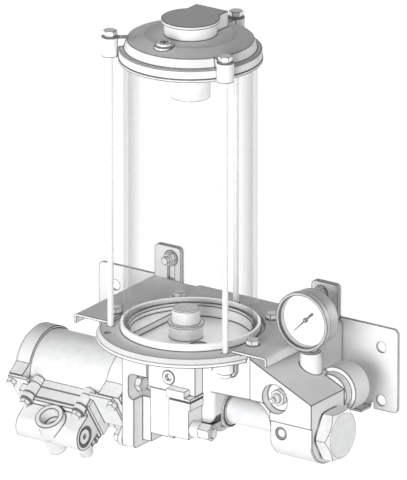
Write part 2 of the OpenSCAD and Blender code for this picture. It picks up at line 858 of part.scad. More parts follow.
module end_plug_washer() {
    color("chocolate") placed() translate([block_end_x, 0, -pump_drop]) rotate([0, 90, 0])
        washer(plug_af - 1, plug_thread_d + 2 * bolt_gap, plug_washer_t);
}

module end_plug() {
    color("silver") placed() translate([block_end_x + plug_washer_t, 0, -pump_drop]) rotate([0, 90, 0]) difference() {
        hex_bolt(plug_af, plug_h, plug_thread_d, plug_thread_len + plug_washer_t);
        translate([0, 0, -plug_thread_len - 5]) cylinder(d = pump_bore_d, h = plug_thread_len + 5);
    }
}

// The long round cap that closes the second outlet, with a bevelled end
module outlet_cap() {
    front = body_r + outlet_neck_len;
    bevel = 2;
    color("gainsboro") placed() {
        along_y(front, front + outlet_cap_len - bevel, outlet_cap_d, outlet_at);
        along_y(front - 16, front + 1, outlet_thread_d, outlet_at);
        translate([outlet_at[0], front + outlet_cap_len - bevel, outlet_at[1]]) rotate([-90, 0, 0])
            cylinder(d1 = outlet_cap_d, d2 = outlet_cap_d - 2 * bevel, h = bevel);
    }
}

module block_plug() {
    color("silver") placed() difference() {
        along_y(-block_round_r - 0.6, -body_r + plug_seat, block_plug_d, [block_plug_x, -pump_drop]);
        translate([block_plug_x, -body_r + 4, -pump_drop]) rotate([90, 0, 0])
            cylinder(d = 6 / cos(30), h = 10, $fn = 6);
    }
}

// The grease nipple: a hexagon, a stem and a ball-shaped head
module grease_fitting() {
    seat = -body_r + fitting_recess_depth;
    color("goldenrod") placed() translate([fitting_at[0], seat, fitting_at[1]]) rotate([90, 0, 0]) {
        hex_head(14, 5);
        translate([0, 0, -10]) cylinder(d = fitting_thread_d, h = 11);
        rotate_extrude()
            polygon([
                [0, 4], [4.4, 4], [4.4, 6.4], [2.6, 8], [2.6, 9.4], [3.4, 10.4], [3.4, 12], [2.2, 13.4], [0, 13.4]
            ]);
    }
}

// The gauge's own frame: its axis runs along Y through the middle of the dial
module gauge_frame() {
    placed() translate([gauge_at[0], gauge_at[1], gauge_z]) children();
}

module gauge_bezel() {
    y1 = gauge_front;
    color("silver") gauge_frame() difference() {
        along_y(y1, y1 + bezel_len, bezel_d);
        along_y(y1 - 1, y1 + 2, case_d - 3);
        along_y(y1 + 1.6, y1 + bezel_len + 1, case_d + 2 * bolt_gap);
    }
}

module gauge_lens() {
    color("white", 0.25) gauge_frame() along_y(gauge_front + 1.6, gauge_front + 1.6 + lens_t, case_d);
}

module gauge_case() {
    y1 = gauge_front + 1.6 + lens_t;
    y2 = gauge_front + gauge_depth;
    color("silver") gauge_frame() difference() {
        union() {
            along_y(y1, y2 - 2, case_d);
            translate([0, y2 - 2, 0]) rotate([-90, 0, 0]) cylinder(d1 = case_d, d2 = case_d - 4, h = 2);
            translate([0, 0, -case_d / 2 - neck_h]) cylinder(d = neck_d, h = neck_h + 4);
        }
        along_y(y1 - 1, dial_y + dial_t, case_d - 4);
        along_y(y1 - 1, y2 - 3, case_d - 10);
    }
}

module gauge_dial() {
    color("white") gauge_frame() difference() {
        along_y(dial_y, dial_y + dial_t, case_d - 4 - 2 * bolt_gap);
        along_y(dial_y - 1, dial_y + 2, 3);
    }
}

// The gauge's works behind the dial, with the spindle that carries the pointer
module gauge_movement() {
    color("goldenrod") gauge_frame() {
        along_y(dial_y + dial_t, gauge_front + gauge_depth - 3, 30);
        along_y(dial_y - 3.4, dial_y + dial_t + 1, spindle_d);
    }
}

// The pointer at its zero, low on the left: a thin hand with a broad tail
module gauge_pointer() {
    color("black") gauge_frame() difference() {
        union() {
            along_y(dial_y - 3, dial_y - 1, pointer_hub_d);
            translate([0, dial_y - 1.6, 0]) rotate([90, 0, 0]) rotate([0, 0, 225]) linear_extrude(0.7) {
                polygon([[0, 0.8], [pointer_len, 0.35], [pointer_len, -0.35], [0, -0.8]]);
                polygon([[0, 0.8], [0, -0.8], [-pointer_len * 0.55, -1.5], [-pointer_len * 0.55, 1.5]]);
                translate([-pointer_len * 0.55, 0]) circle(1.5);
            }
        }
        along_y(dial_y - 5, dial_y, spindle_d + 2 * slide_gap);
    }
}

// The hollow stem between the boss and the case
module gauge_stem() {
    low = -gauge_boss_drop;
    color("silver") placed() translate([gauge_at[0], gauge_at[1], 0]) difference() {
        union() {
            translate([0, 0, low]) cylinder(d = neck_d + 3.4, h = 1.2);
            translate([0, 0, low]) cylinder(d = neck_d, h = gauge_z - case_d / 2 - neck_h - low);
            translate([0, 0, low - 12]) cylinder(d = gauge_thread_d, h = 13);
        }
        translate([0, 0, low - 13]) cylinder(d = 4, h = 60);
    }
}

// FRONT MANIFOLD

module manifold_block() {
    color("gainsboro") placed() difference() {
        box([pad_end_x, pad_front, manifold_low], [manifold_end_x, -body_r, manifold_top]);
        along_y(pad_front - 1, pad_front + plug_seat, manifold_plug_d + 2 * bolt_gap, manifold_plug_at);
    }
}

module manifold_plug() {
    color("silver") placed() difference() {
        along_y(pad_front - 0.8, pad_front + plug_seat, manifold_plug_d, manifold_plug_at);
        translate([manifold_plug_at[0], pad_front + 3, manifold_plug_at[1]]) rotate([90, 0, 0])
            cylinder(d = 7 / cos(30), h = 10, $fn = 6);
    }
}

module lower_block() {
    color("gainsboro") placed()
        box([lower_block_x[0], pad_front, -lower_block_drop], [lower_block_x[1], -body_r, manifold_low]);
}

// The small relief valve beside the lower block, with its round cap
module vent_valve() {
    color("gainsboro") placed() {
        box([vent_x[0], -57, -99.3], [vent_x[1], -body_r, -66.6]);
        translate([(vent_x[0] + vent_x[1]) / 2, -45, -67]) cylinder(d = 20, h = manifold_low + 67);
    }
}

module vent_fitting() {
    color("silver") placed() {
        along_x(vent_x[1], vent_x[1] + 11, 16.6, vent_fitting_at);
        translate([vent_x[1] + 11, vent_fitting_at[0], vent_fitting_at[1]]) rotate([0, 90, 0]) hex_head(16, 14);
        along_x(vent_x[1] + 24, vent_x[1] + 27, 11, vent_fitting_at);
    }
}

// AIR MOTOR

// A block under the motor's front, in the air valve's frame
module valve_pad(x1, x2, half, reach_to) {
    box([x1, -reach_to, -half], [x2, 0, half]);
}

// What is milled off the motor's front for the air plate to lie flat on
module milled_face(x1, x2) {
    box([x1, -pad_reach - 20, -motor_d / 2], [x2, -pad_reach, motor_d / 2]);
}

module flange_bolts() {
    len = flange_x - flange_in_x + adapter_flange_t;
    color("silver") placed() for (s = [-1, 1]) {
        translate([-flange_in_x - pocket_depth, s * flange_bolt_upper[0], flange_bolt_upper[1] - pump_drop])
            rotate([0, 90, 0]) hex_bolt(flange_bolt_af, 7, flange_bolt_d, len - pocket_depth + 12);
        translate([-flange_in_x, s * flange_bolt_lower[0], flange_bolt_lower[1] - pump_drop])
            rotate([0, 90, 0]) hex_bolt(flange_bolt_af, 7, flange_bolt_d, len + 8);
    }
}

module adapter_nuts() {
    color("silver") placed() for (s = [-1, 1])
        translate([-flange_x - adapter_flange_t, s * flange_bolt_lower[0], flange_bolt_lower[1] - pump_drop])
            rotate([0, -90, 0]) difference() {
                hex_head(flange_bolt_af - 1, 6.5);
                translate([0, 0, -1]) cylinder(d = flange_bolt_d + 2 * bolt_gap, h = 10);
            }
}

// The bell between the air motor and the pump's flange
module motor_adapter() {
    half = adapter_flange_w / 2;
    color("gainsboro") difference() {
        union() {
            valve_frame() along_x(motor_x, -flange_x - 1, adapter_d);
            valve_frame() valve_pad(motor_x, -flange_x - adapter_flange_t - 2, end_pad_half, pad_reach);
            placed() extrude_x(-flange_x - adapter_flange_t, -flange_x)
                round_rect([-half, -pump_drop - half], [half, -pump_drop + half], 8);
        }
        valve_frame() {
            along_x(motor_x - 1, -flange_x + 1, gland_d + 2 * bolt_gap);
            along_x(motor_x - 1, motor_x + 12, 48);
            milled_face(motor_x - 1, -flange_x - adapter_flange_t);
        }
        placed() for (s = [-1, 1], b = [flange_bolt_upper, flange_bolt_lower])
            along_x(-flange_x - 20, -flange_x + 1, flange_bolt_d + 2 * bolt_gap, [s * b[0], b[1] - pump_drop]);
        valve_frame() translate([ear_bolt_x[0], 0, ear_bolt_p]) along_y(-pad_reach - 1, -pad_reach + 16, plate_bolt_d + 2 * bolt_gap);
    }
}

module motor_cylinder() {
    color("gainsboro") valve_frame() difference() {
        union() {
            along_x(motor_left_x, motor_x, motor_d);
            valve_pad(motor_left_x + motor_skirt, motor_x, pad_half, pad_reach);
        }
        along_x(motor_left_x - 1, motor_x + 1, motor_bore);
    }
}

// The end cap: a head and a skirt over the cylinder, with a flat for the air plate
module motor_end_cap() {
    x1 = motor_left_x - motor_head_t;
    x2 = motor_left_x + motor_skirt;
    bevel = 5;
    color("gainsboro") valve_frame() difference() {
        union() {
            translate([x1, 0, 0]) rotate([0, 90, 0]) cylinder(d1 = motor_cap_d - 2 * bevel, d2 = motor_cap_d, h = bevel);
            along_x(x1 + bevel, x2, motor_cap_d);
            valve_pad(x1 + bevel, x2, end_pad_half, pad_reach);
        }
        along_x(motor_left_x, x2 + 1, motor_d + 2 * bolt_gap);
        milled_face(x1 - 1, x2 + 1);
        translate([ear_bolt_x[1], 0, ear_bolt_p]) along_y(-pad_reach - 1, -pad_reach + 7, plate_bolt_d + 2 * bolt_gap);
    }
}

module motor_piston() {
    ring_w = 6;
    color("silver") valve_frame() difference() {
        along_x(piston_x - piston_t / 2, piston_x + piston_t / 2, motor_bore - 2 * slide_gap);
        along_x(piston_x - piston_t, piston_x + piston_t, spigot_d + 2 * bolt_gap);
        difference() {
            along_x(piston_x - ring_w / 2, piston_x + ring_w / 2, motor_bore + 2);
            along_x(piston_x - ring_w, piston_x + ring_w, motor_bore - 8);
        }
    }
}

module piston_ring() {
    ring_w = 6;
    color("dimgray") valve_frame() difference() {
        along_x(piston_x - ring_w / 2, piston_x + ring_w / 2, motor_bore - 2 * slide_gap);
        along_x(piston_x - ring_w, piston_x + ring_w, motor_bore - 8 + 2 * slide_gap);
    }
}

module drive_rod() {
    x1 = piston_x + piston_t / 2;
    x2 = plunger_x - plunger_t / 2;
    color("silver") placed() {
        along_x(x1, x2, rod_d, [0, -pump_drop]);
        along_x(x1 - piston_t - piston_nut_h - 2, x1 + 1, spigot_d, [0, -pump_drop]);
        along_x(x2 - 1, x2 + 10, spigot_d, [0, -pump_drop]);
    }
}

// The nut that holds the piston on the rod's spigot
module piston_nut() {
    color("silver") valve_frame() translate([piston_x - piston_t / 2, 0, 0]) rotate([0, -90, 0]) difference() {
        hex_head(17, piston_nut_h);
        translate([0, 0, -1]) cylinder(d = spigot_d + 2 * bolt_gap, h = 20);
    }
}

module pump_plunger() {
    x1 = plunger_x - plunger_t / 2;
    color("silver") placed() difference() {
        along_x(x1, x1 + plunger_t, pump_bore_d - 2 * slide_gap, [0, -pump_drop]);
        along_x(x1 - 1, x1 + 10.5, spigot_d + 2 * bolt_gap, [0, -pump_drop]);
    }
}

// The gland that the drive rod slides through
module rod_gland() {
    color("goldenrod") placed() difference() {
        union() {
            along_x(motor_x + 12, -flange_x + 6, gland_d, [0, -pump_drop]);
            along_x(-flange_x, -flange_x + 6, gland_d + 9.6, [0, -pump_drop]);
        }
        along_x(motor_x, 0, rod_d + 2 * slide_gap, [0, -pump_drop]);
    }
}

// AIR VALVE

module valve_plate() {
    color("gainsboro") valve_frame() difference() {
        union() {
            valve_pad_layer(valve_left_x - 8, valve_x + 3, pad_half - 1, plate_reach);
            for (e = [[motor_left_x - motor_head_t + 5, valve_left_x], [valve_x, -flange_x - adapter_flange_t - 2]])
                box([e[0], -ear_seat, -12], [e[1], -pad_reach, end_pad_half - 1]);
        }
        for (x = ear_bolt_x) translate([x, 0, ear_bolt_p]) along_y(-60, 0, plate_bolt_d + 2 * bolt_gap);
        for (x = tower_x, s = [-1, 1]) translate([x, 0, s * tower_p]) along_y(-60, -pad_reach + 1, valve_bolt_d + 2 * bolt_gap);
    }
}

// A slab that lies on the motor's pad
module valve_pad_layer(x1, x2, half, reach_to) {
    box([x1, -reach_to, -half], [x2, -pad_reach, half]);
}

module valve_gasket() {
    color("dimgray") valve_frame() difference() {
        box([valve_left_x, -plate_reach - gasket_t, -housing_half], [valve_x, -plate_reach, housing_half]);
        for (x = tower_x, s = [-1, 1]) translate([x, 0, s * tower_p]) along_y(-60, 0, valve_bolt_d + 4);
    }
}

module valve_housing() {
    base = plate_reach + gasket_t;
    color("gainsboro") valve_frame() difference() {
        union() {
            box([valve_left_x, -base - 4, -housing_half], [valve_x, -base, housing_half]);
            box([valve_left_x, -spool_reach, -spool_housing_d / 2], [valve_x, -base, spool_housing_d / 2]);
            along_x(valve_left_x, valve_x, spool_housing_d, [-spool_reach, 0]);
            for (x = tower_x, s = [-1, 1]) translate([x, 0, s * tower_p])
                along_y(-tower_reach, -base, tower_d);
            translate([inlet_x, -spool_reach, 0]) cylinder(d = inlet_d + 11, h = inlet_rise);
            translate([exhaust_x, -spool_reach, -exhaust_drop]) cylinder(d = 21, h = exhaust_drop);
        }
        along_x(valve_left_x - 1, valve_x + 1, spool_bore_d, [-spool_reach, 0]);
        for (x = [valve_left_x - 1, valve_x - spool_plug_len]) along_x(x, x + spool_plug_len + 1, spool_plug_d + 2 * bolt_gap, [-spool_reach, 0]);
        translate([inlet_x, -spool_reach, inlet_rise - inlet_len]) cylinder(d = inlet_d, h = inlet_len + 1);
        translate([inlet_x, -spool_reach, 0]) cylinder(d = passage_d, h = inlet_rise);
        translate([exhaust_x, -spool_reach, -exhaust_drop]) {
            translate([0, 0, -1]) cylinder(d = exhaust_d, h = exhaust_len + 1);
            cylinder(d = passage_d, h = exhaust_drop);
        }
        for (x = tower_x, s = [-1, 1]) translate([x, 0, s * tower_p]) along_y(-90, 0, valve_bolt_d + 2 * bolt_gap);
    }
}

module valve_spool() {
    land = spool_bore_d - 2 * slide_gap;
    mid = (valve_left_x + valve_x) / 2;
    color("silver") valve_frame() {
        along_x(mid - 24, mid + 24, 9, [-spool_reach, 0]);
        for (x = [mid - 26, mid - 4, mid + 18]) along_x(x, x + 8, land, [-spool_reach, 0]);
    }
}

module spool_plugs() {
    color("dimgray") valve_frame() for (x = [valve_left_x + 0.6, valve_x - spool_plug_len])
        along_x(x, x + spool_plug_len - 0.6, spool_plug_d, [-spool_reach, 0]);
}

module valve_bolts() {
    color("silver") valve_frame() for (x = tower_x, s = [-1, 1])
        translate([x, -tower_reach, s * tower_p]) rotate([90, 0, 0]) {
            washer(tower_d - 1.4, valve_bolt_d + 2 * bolt_gap, 1.2);
            translate([0, 0, 1.2]) hex_bolt(m6_af, 5, valve_bolt_d, tower_reach - pad_reach);
        }
}

module plate_bolts() {
    color("silver") valve_frame() for (x = ear_bolt_x)
        translate([x, -ear_seat, ear_bolt_p]) rotate([90, 0, 0])
            hex_bolt(m6_af, 5, plate_bolt_d, ear_seat - pad_reach + 5.6);
}

pump_base();
base_seal();
reservoir_tube();
cap_seal();
reservoir_cap();
vent_cap();
overflow_tube();
fill_plug();
tie_bolts();
tie_washers();
centre_post();
post_collar();
mounting_bracket();
bracket_bolts();
wall_plate();
tab_studs();
tab_washers();
tab_nuts();
pump_tube();
tube_lock_ring();
end_plug();
end_plug_washer();
outlet_cap();
block_plug();
grease_fitting();
gauge_case();
gauge_bezel();
gauge_dial();
gauge_lens();
gauge_movement();
gauge_stem();
gauge_pointer();
manifold_block();
lower_block();
vent_valve();
vent_fitting();
manifold_plug();
flange_bolts();
adapter_nuts();
motor_adapter();
motor_cylinder();
motor_end_cap();
motor_piston();
piston_nut();
piston_ring();
drive_rod();
rod_gland();
pump_plunger();
valve_plate();
valve_housing();
valve_spool();
spool_plugs();
valve_bolts();
plate_bolts();
valve_gasket();
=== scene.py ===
"""Looks of the grease pump: paint, metal, clear plastic, light and camera round the CAD part."""

import json
import math

import bpy
from mathutils import Matrix, Vector


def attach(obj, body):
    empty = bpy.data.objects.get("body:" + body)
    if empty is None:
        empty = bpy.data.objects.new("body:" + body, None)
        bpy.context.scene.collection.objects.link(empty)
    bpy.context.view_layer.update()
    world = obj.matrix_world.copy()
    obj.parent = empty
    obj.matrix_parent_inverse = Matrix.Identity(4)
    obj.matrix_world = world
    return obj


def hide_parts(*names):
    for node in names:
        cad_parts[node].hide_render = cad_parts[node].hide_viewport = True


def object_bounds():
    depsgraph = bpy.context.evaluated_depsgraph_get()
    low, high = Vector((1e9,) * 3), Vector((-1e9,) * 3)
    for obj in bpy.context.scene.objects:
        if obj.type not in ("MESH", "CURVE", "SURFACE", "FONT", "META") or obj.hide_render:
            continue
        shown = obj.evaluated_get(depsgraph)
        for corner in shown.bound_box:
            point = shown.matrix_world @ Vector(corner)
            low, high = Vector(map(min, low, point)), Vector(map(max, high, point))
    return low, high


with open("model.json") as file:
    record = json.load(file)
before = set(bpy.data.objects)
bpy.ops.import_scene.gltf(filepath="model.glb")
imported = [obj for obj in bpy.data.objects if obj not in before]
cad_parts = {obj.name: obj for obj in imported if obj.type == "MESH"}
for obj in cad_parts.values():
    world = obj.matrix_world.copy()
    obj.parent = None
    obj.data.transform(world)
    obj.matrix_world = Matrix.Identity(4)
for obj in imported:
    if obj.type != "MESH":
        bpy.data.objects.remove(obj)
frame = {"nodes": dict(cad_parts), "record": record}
bpy.ops.object.select_all(action="DESELECT")
cad_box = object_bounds()
NODES = frame["nodes"]
MM = 0.001
RING_CENTRE = Vector((0.0, -108 * MM, 47.6 * MM))

# Camera: the drawing is a parallel view from the front right, a little above
AZIMUTH = math.radians(34.5)
ELEVATION = math.radians(19.755)
PIXEL = 1.04 * MM
FRAME_PX = (407, 480)
RING_CENTRE_PX = (190.6, 328.0)


# Materials


class Value:
    """A number socket that takes part in plain arithmetic: each operation adds its Math node."""

    def __init__(self, paint, socket):
        self.paint = paint
        self.socket = socket

    def _math(self, operation, *values):
        return self.paint.node("ShaderNodeMath", {"operation": operation}, dict(enumerate(values)))[0]

    def __add__(self, other):
        return self._math("ADD", self, other)

    def __mul__(self, other):
        return self._math("MULTIPLY", self, other)

    def __sub__(self, other):
        return self._math("SUBTRACT", self, other)

    def __rsub__(self, other):
        return self._math("SUBTRACT", other, self)

    __radd__ = __add__
    __rmul__ = __mul__

    def clamp(self):
        return self._math("MINIMUM", self._math("MAXIMUM", self, 0.0), 1.0)


class Paint:
    """One node material, built from calls of node()."""

    def __init__(self, name):
        self.material = bpy.data.materials.new(name)
        self.material.use_nodes = True
        self.tree = self.material.node_tree
        self.shader = self.tree.nodes["Principled BSDF"]
        self.output = self.tree.nodes["Material Output"]

    @classmethod
    def on(cls, material):
        """Goes on with a material that is already painted."""
        paint = cls.__new__(cls)
        paint.material = material
        paint.tree = material.node_tree
        paint.shader = paint.tree.nodes["Principled BSDF"]
        return paint

    def node(self, kind, settings=None, inputs=None):
        """Adds a node and returns its output sockets, each as a Value."""
        made = self.tree.nodes.new(kind)
        for key, value in (settings or {}).items():
            setattr(made, key, value)
        for key, value in (inputs or {}).items():
            self.feed(made.inputs[key], value)
        return [Value(self, out) for out in made.outputs]

    def feed(self, socket, value):
        if isinstance(value, Value):
            self.tree.links.new(value.socket, socket)
        else:
            socket.default_value = value

    def set(self, **sockets):
        """Sets or links the shader's own sockets, written with underscores for spaces."""
        for key, value in sockets.items():
            self.feed(self.shader.inputs[key.replace("_", " ")], value)

    def place(self):
        """The point on the object, in metres."""
        return self.node("ShaderNodeTexCoord")[3]

    def noise(self, size_mm, detail, stretch=(1.0, 1.0, 1.0)):
        """Noise from 0 to 1 with features of about that size on the object."""
        scaled = self.node("ShaderNodeMapping", {}, {"Vector": self.place(), "Scale": stretch})[0]
        inputs = {"Vector": scaled, "Scale": 1.0 / (size_mm * MM), "Detail": detail, "Roughness": 0.55}
        return self.node("ShaderNodeTexNoise", {}, inputs)[0]

    def mix(self, factor, first, second):
        """Mixes two colours."""
        made = self.tree.nodes.new("ShaderNodeMix")
        made.data_type = "RGBA"
        self.feed(made.inputs[0], factor)
        self.feed(made.inputs[6], first)
        self.feed(made.inputs[7], second)
        return Value(self, made.outputs[2])

    def ramp(self, value, low, high):
        """0 under low, 1 over high, and a straight slope between them."""
        inputs = {"Value": value, "From Min": low, "From Max": high}
        return self.node("ShaderNodeMapRange", {}, inputs)[0]

    def bump(self, height, distance_mm, strength):
        inputs = {"Height": height, "Distance": distance_mm * MM, "Strength": strength}
        return self.node("ShaderNodeBump", {}, inputs)[0]


def grey(level):
    return (level, level, level, 1.0)


def scaled(colour, factor):
    return tuple(min(1.0, part * factor) for part in colour) + (1.0,)


def edge_line_and_corner_shade(paint, radius_mm):
    """1 along edges, for dark edge lines, and in inside corners, as painted shade: where a bevelled normal
    departs from the true one.
    """
    bevel = paint.node("ShaderNodeBevel", {"samples": 12}, {"Radius": radius_mm * MM})[0]
    normal = paint.node("ShaderNodeNewGeometry")[1]
    facing = paint.node("ShaderNodeVectorMath", {"operation": "DOT_PRODUCT"}, {0: bevel, 1: normal})[1]
    return paint.ramp(1.0 - facing, 0.002, 0.018)


def painted_seam_shade(paint, reach_mm):
    """1 in seams, corners and recesses that nearby surfaces close in, from ambient occlusion: painted
    shade.
    """
    inputs = {"Distance": reach_mm * MM}
    open_share = paint.node("ShaderNodeAmbientOcclusion", {"samples": 8}, inputs)[1]
    return 1.0 - paint.ramp(open_share, 0.45, 0.8)


def tint_with_painted_shade(paint, tint, edge_and_shade_darkening, edge_mm, reach_mm):
    """The tint darkened along its edges and with painted shade in its seams and corners, by the given
    amount.
    """
    # Painted shade: the occlusion shade in seams and the bevel shade in corners darken the tint, together
    # with the dark edge lines; grey(0.03) is their colour.
    dark = (edge_line_and_corner_shade(paint, edge_mm) + painted_seam_shade(paint, reach_mm)).clamp()
    return paint.mix(dark * edge_and_shade_darkening, tint, grey(0.03))


def enamel(name, colour, edge_and_shade_darkening, grain_mm, grain, roughness=0.5, edge_mm=2.0):
    """Sprayed enamel over cast metal: faint orange peel, soft mottling, dark lines on the edges and
    painted shade in corners and seams.
    """
    paint = Paint(name)
    mottle = paint.noise(14.0, detail=3.0)
    fine = paint.noise(grain_mm, detail=2.0)
    tint = paint.mix(paint.ramp(mottle, 0.3, 0.7), grey(colour * 0.97), grey(colour * 1.02))
    tint = tint_with_painted_shade(paint, tint, edge_and_shade_darkening, edge_mm, 2.5)
    rough = paint.ramp(fine, 0.2, 0.8) * 0.12 + (roughness - 0.06)
    paint.set(Base_Color=tint, Roughness=rough, Normal=paint.bump(fine, grain, 0.5))
    paint.set(Specular_IOR_Level=0.22)
    return paint.material


def bare_metal(name, colour, roughness, metallic, stretch=(1, 1, 1), edge_mm=1.5, scratch=0.03, edge_and_shade_darkening=0.9):
    """Plated or turned metal with fine tool marks, darker along its edges and with painted shade in
    corners and seams.
    """
    paint = Paint(name)
    marks = paint.noise(1.2, detail=5.0, stretch=stretch)
    cloud = paint.noise(9.0, detail=2.0)
    tint = paint.mix(paint.ramp(cloud, 0.3, 0.7), scaled(colour, 0.94), scaled(colour, 1.04))
    tint = tint_with_painted_shade(paint, tint, edge_and_shade_darkening, edge_mm, 2.0)
    rough = paint.ramp(marks, 0.25, 0.75) * 0.14 + (roughness - 0.07)
    paint.set(Base_Color=tint, Roughness=rough, Normal=paint.bump(marks, scratch, 0.4))
    paint.set(Metallic=metallic, Specular_IOR_Level=0.35)
    return paint.material


def rubber(name, level):
    paint = Paint(name)
    grain = paint.noise(0.8, detail=3.0)
    tint = paint.mix(grain, grey(level * 0.85), grey(level * 1.1))
    paint.set(Base_Color=tint, Roughness=0.7, Normal=paint.bump(grain, 0.06, 0.5))
    return paint.material


def clear_tube(name):
    """Clear extruded plastic, almost invisible from the front and greyer where it turns away."""
    paint = Paint(name)
    facing = paint.node("ShaderNodeLayerWeight", {}, {"Blend": 0.5})[1]
    streaks = paint.noise(30.0, detail=2.0, stretch=(1.0, 1.0, 0.06))
    film = paint.ramp(facing, 0.35, 0.95)
    alpha = film * 0.36 + streaks * 0.02
    paint.set(Base_Color=grey(0.3), Roughness=0.12, IOR=1.3, Alpha=alpha.clamp())
    return paint.material


def lens_glass(name):
    paint = Paint(name)
    facing = paint.node("ShaderNodeLayerWeight", {}, {"Blend": 0.4})[1]
    paint.set(Base_Color=grey(0.9), Roughness=0.03, IOR=1.3, Alpha=(facing * 0.3 + 0.03).clamp())
    return paint.material


def dial_paint(name):
    paint = Paint(name)
    grain = paint.noise(2.0, detail=3.0)
    tint = paint.mix(grain, grey(0.93), grey(0.97))
    paint.set(Base_Color=tint, Roughness=0.5, Normal=paint.bump(grain, 0.01, 0.2))
    return paint.material


SEAT_R = (73.6 * MM, 73.9 * MM)
BOWL_FLOOR_Z = (35.0 * MM, 35.4 * MM)
SEAL_TOP_Z = (50.2 * MM, 50.4 * MM)
SEAT_RIM_Z = (56.8 * MM, 57.0 * MM)


def body_enamel():
    """The casting's enamel. Inside the bowl the metallic share is highest on up-facing faces, so that
    these mirror the white room as a painted reflection; the seat's wall gets a plain light grey without
    the dark edge lines and seam shade, as painted light in the groove's shade.
    """
    material = enamel("body_enamel", 0.84, 0.9, grain_mm=1.8, grain=0.06)
    paint = Paint.on(material)
    x, y, z = paint.node("ShaderNodeSeparateXYZ", {}, {0: paint.place()})
    along = y - RING_CENTRE.y
    radius = paint.node("ShaderNodeMath", {"operation": "SQRT"}, {0: x * x + along * along})[0]
    inside = 1.0 - paint.ramp(radius, *SEAT_R)
    above_floor = paint.ramp(z, *BOWL_FLOOR_Z)
    normal = paint.node("ShaderNodeNewGeometry")[1]
    facing_up = paint.node("ShaderNodeSeparateXYZ", {}, {0: normal})[2].clamp()
    # Painted light: a plain light grey on the seat's wall, lighter than the enamel and without its dark
    # edges and painted seam shade.
    painted_light_seat_wall = inside * paint.ramp(z, *SEAL_TOP_Z) * (1.0 - paint.ramp(z, *SEAT_RIM_Z))
    tint = Value(paint, paint.shader.inputs["Base Color"].links[0].from_socket)
    paint.set(Base_Color=paint.mix(painted_light_seat_wall, tint, grey(0.88)))
    # Painted reflection: inside the bowl the metallic share is highest on up-facing faces, so that they
    # mirror the white room and read bright.
    paint.set(Metallic=inside * above_floor * (facing_up * 0.8 + 0.2))
    return material


CASTING = enamel("cast_enamel", 0.84, 0.9, grain_mm=1.8, grain=0.06)
BODY = body_enamel()
SHEET = enamel("folded_sheet_enamel", 0.80, 0.9, grain_mm=1.1, grain=0.03, edge_mm=1.6)
WALL_SHEET = enamel("wall_sheet_enamel", 0.88, 0.9, grain_mm=1.1, grain=0.03, edge_mm=1.6)
MACHINED = bare_metal("turned_aluminium", (0.84, 0.845, 0.85), 0.42, 0.12, stretch=(1.0, 1.0, 4.0))
ZINC = bare_metal("zinc_plated_steel", (0.80, 0.805, 0.81), 0.38, 0.25, edge_mm=1.3)
STAINLESS = bare_metal("brushed_gauge_case", (0.5, 0.505, 0.51), 0.36, 0.2, scratch=0.005)
BRASS = bare_metal("brass", (0.72, 0.60, 0.36), 0.32, 0.8, edge_and_shade_darkening=0.6)
RUBBER = rubber("dark_rubber", 0.2)
PALE_SEAL = rubber("pale_seal", 0.7)
CLEAR = clear_tube("clear_tube")
LENS = lens_glass("gauge_glass")
DIAL = dial_paint("dial_white")
BLACK = enamel("matt_black", 0.03, 0.0, grain_mm=0.8, grain=0.02, roughness=0.55)

SLOT_FINISH = {
    "casting": CASTING, "machined": MACHINED, "sheet": SHEET, "wall_sheet": WALL_SHEET, "steel": ZINC,
    "chrome": STAINLESS, "brass": BRASS, "copper": ZINC, "rubber": RUBBER, "clear": CLEAR, "lens": LENS,
    "dial": DIAL, "black": BLACK,
}
OWN_FINISH = {"manifold_plug": ZINC, "gauge_movement": ZINC, "base_seal": PALE_SEAL, "cap_seal": PALE_SEAL}


def finish_nodes():
    """Gives every CAD node the finish of its slot in the record."""
    slots = {part["node"]: part["material_slot"] for part in frame["record"]["subparts"]}
    for name, node in NODES.items():
        finish = OWN_FINISH.get(name, SLOT_FINISH[slots[name]])
        if not node.data.materials:
            node.data.materials.append(finish)
        for index in range(len(node.material_slots)):
            node.material_slots[index].material = finish


finish_nodes()


# Modelling helpers: millimetres in the frame of the ring, the pump's line or the air valve

PUMP_DROP = 78.6
VALVE_TILT = math.radians(34.0)
RING = Matrix.Translation(RING_CENTRE)
PUMP_LINE = RING @ Matrix.Translation((0.0, 0.0, -PUMP_DROP * MM))
VALVE = PUMP_LINE @ Matrix.Rotation(VALVE_TILT, 4, "X")
ALONG_X = Matrix.Rotation(math.pi / 2, 4, "Y")
TO_LEFT = Matrix.Rotation(-math.pi / 2, 4, "Y")
TO_FRONT = Matrix.Rotation(math.pi / 2, 4, "X")


def at(place, x, y, z):
    """The place, moved by millimetres along its own axes."""
    return place @ Matrix.Translation((x * MM, y * MM, z * MM))


def only(piece):
    """Makes the piece the one that the operators act on."""
    bpy.ops.object.select_all(action="DESELECT")
    piece.select_set(True)
    bpy.context.view_layer.objects.active = piece


def settle(piece, place):
    """Moves the piece from the world's origin to its place and leaves its own origin behind."""
    only(piece)
    piece.matrix_world = place @ piece.matrix_world
    bpy.ops.object.transform_apply(location=True, rotation=True, scale=True)
    return piece


def choose_edges(mesh, test):
    """Selects the edges whose middle and direction, in millimetres, pass the test."""
    for edge in mesh.edges:
        first, second = (mesh.vertices[i].co / MM for i in edge.vertices)
        edge.select = test((first + second) / 2, second - first)


def bevel_edges(piece, width, segments, test):
    """Rounds the edges that pass the test; they are chosen again once edge mode is on."""
    only(piece)
    mesh = piece.data
    choose_edges(mesh, test)
    for thing in list(mesh.vertices) + list(mesh.polygons):
        thing.select = False
    bpy.ops.object.mode_set(mode="EDIT")
    bpy.context.tool_settings.mesh_select_mode = (False, True, False)
    bpy.ops.object.mode_set(mode="OBJECT")
    choose_edges(mesh, test)
    bpy.ops.object.mode_set(mode="EDIT")
    bpy.ops.mesh.bevel(offset=width * MM, segments=segments, affect="EDGES")
    bpy.ops.object.mode_set(mode="OBJECT")
    return piece


